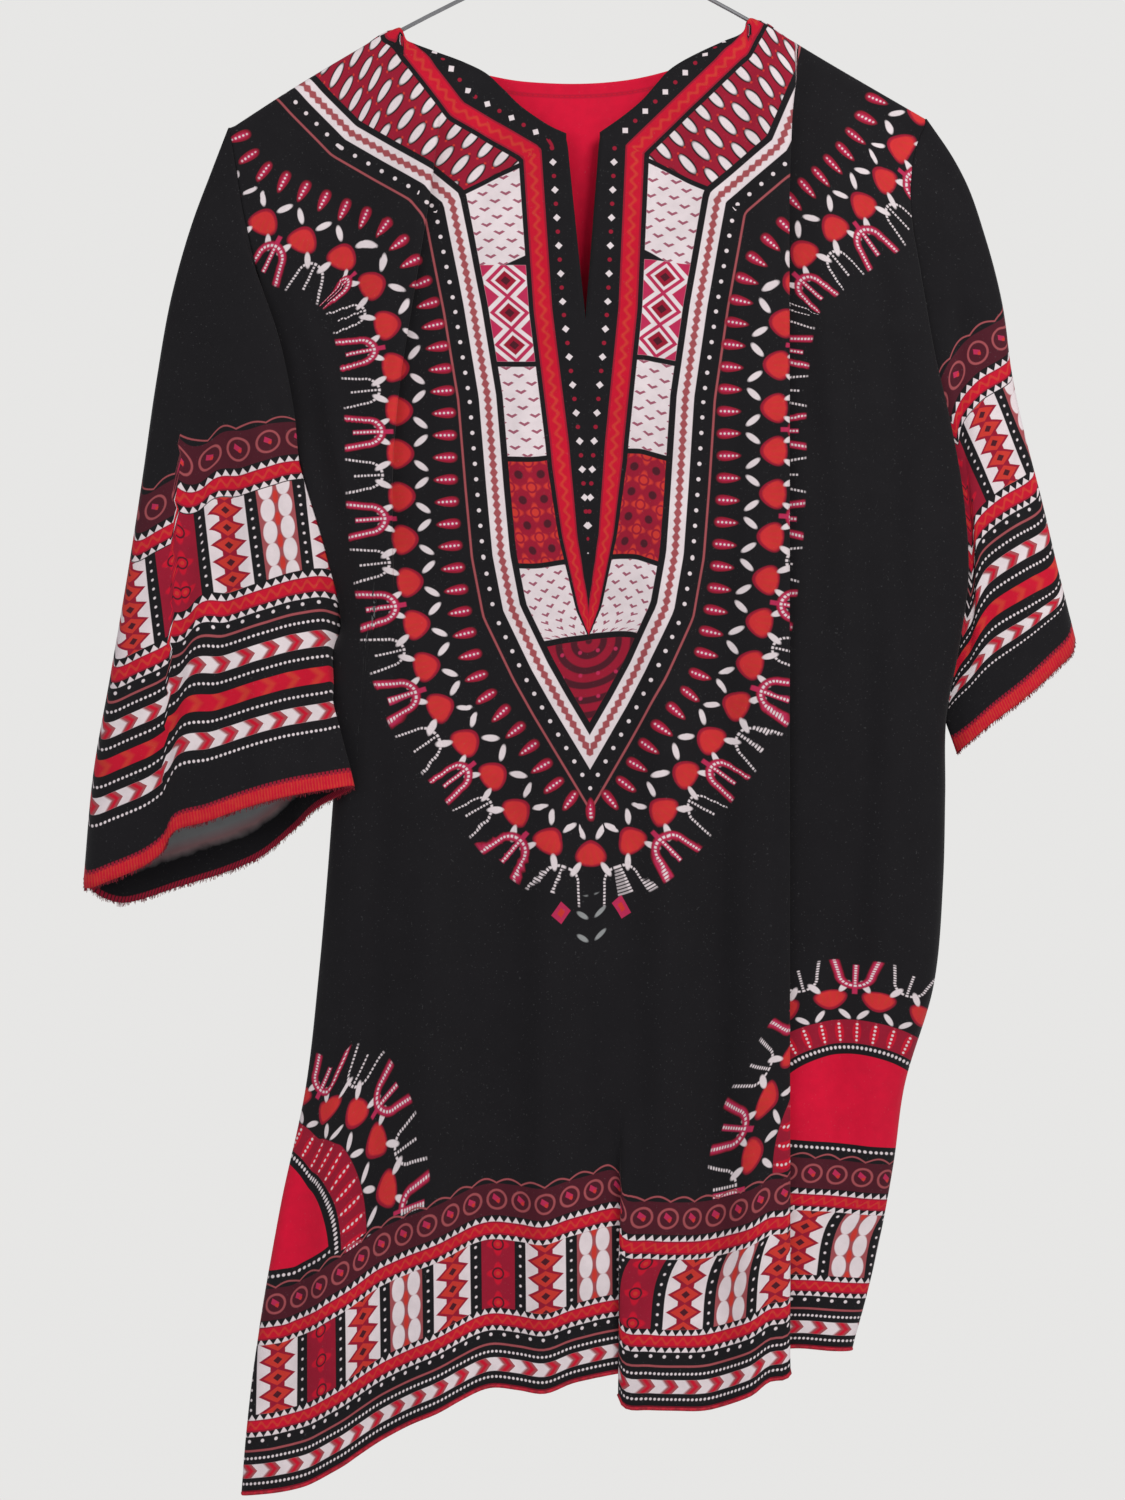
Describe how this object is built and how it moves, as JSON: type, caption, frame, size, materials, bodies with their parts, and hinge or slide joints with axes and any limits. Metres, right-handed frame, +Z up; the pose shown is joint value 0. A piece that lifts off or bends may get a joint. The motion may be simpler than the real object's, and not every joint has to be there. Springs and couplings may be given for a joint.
{
  "type": "dashiki shirt on wire hanger",
  "caption": "Loose printed cotton dashiki shirt with a slit neckline, wide sleeves, bordered hem and side vents, hung on a plain wire hanger.",
  "frame": {"origin": "the top of the inside of the hanger's hook, where a rod carries it", "axes": "+Z up, the shirt's front faces -Y, and its right side as seen from the front is +X"},
  "size_m": [0.5625, 0.0502, 0.9621],
  "materials": {
    "printed_cotton": "matt plain weave",
    "border_cotton": "matt plain weave",
    "red_cotton": "matt plain weave",
    "grey_wire": "dull grey wire"
  },
  "bodies": {
    "root": {"front": "printed_cotton", "back": "printed_cotton", "sleeve_left": "border_cotton", "sleeve_right": "border_cotton", "neck_facing": "red_cotton", "hanger_hook": "grey_wire", "hanger_arm_left": "grey_wire", "hanger_arm_right": "grey_wire", "hanger_bar": "grey_wire"}
  },
  "joints": []
}
